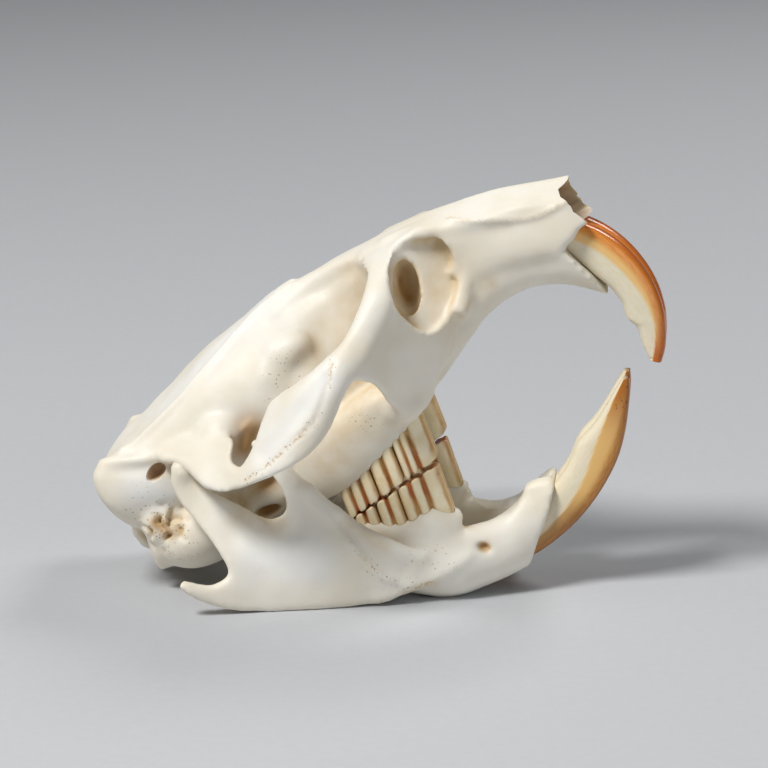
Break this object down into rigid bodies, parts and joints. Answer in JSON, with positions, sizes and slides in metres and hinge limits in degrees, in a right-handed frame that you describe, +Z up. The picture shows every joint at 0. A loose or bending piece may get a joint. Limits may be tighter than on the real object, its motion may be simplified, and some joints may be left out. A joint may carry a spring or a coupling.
{
  "type": "gopher skull",
  "caption": "Dried rodent skull with its jaws agape: long curved orange incisors, rows of ridged cheek teeth, bowed cheek arches, standing on the lower edges of its jaw.",
  "frame": {"origin": "on the surface the jaw stands on, under the middle of the whole skull's bounding box", "axes": "+X forward, the way the snout and incisors point; +Y to the animal's left; +Z up from the surface it stands on"},
  "size_m": [0.061, 0.039, 0.045],
  "materials": {
    "bone": "dry cleaned bone, warm ivory, matt with a faint sheen",
    "incisor": "orange enamel over cream dentine, glossy",
    "cheek_tooth": "cream enamel columns with rusty grooves, satin"
  },
  "bodies": {
    "root": {"cranium": "bone", "mandible_right": "bone", "mandible_left": "bone", "upper_incisor_right": "incisor", "lower_incisor_right": "incisor", "upper_molar_1_right": "cheek_tooth", "lower_molar_1_right": "cheek_tooth", "upper_molar_2_right": "cheek_tooth", "lower_molar_2_right": "cheek_tooth", "upper_molar_3_right": "cheek_tooth", "lower_molar_3_right": "cheek_tooth", "upper_incisor_left": "incisor", "lower_incisor_left": "incisor", "upper_molar_1_left": "cheek_tooth", "lower_molar_1_left": "cheek_tooth", "upper_molar_2_left": "cheek_tooth", "lower_molar_2_left": "cheek_tooth", "upper_molar_3_left": "cheek_tooth", "lower_molar_3_left": "cheek_tooth"}
  },
  "joints": []
}
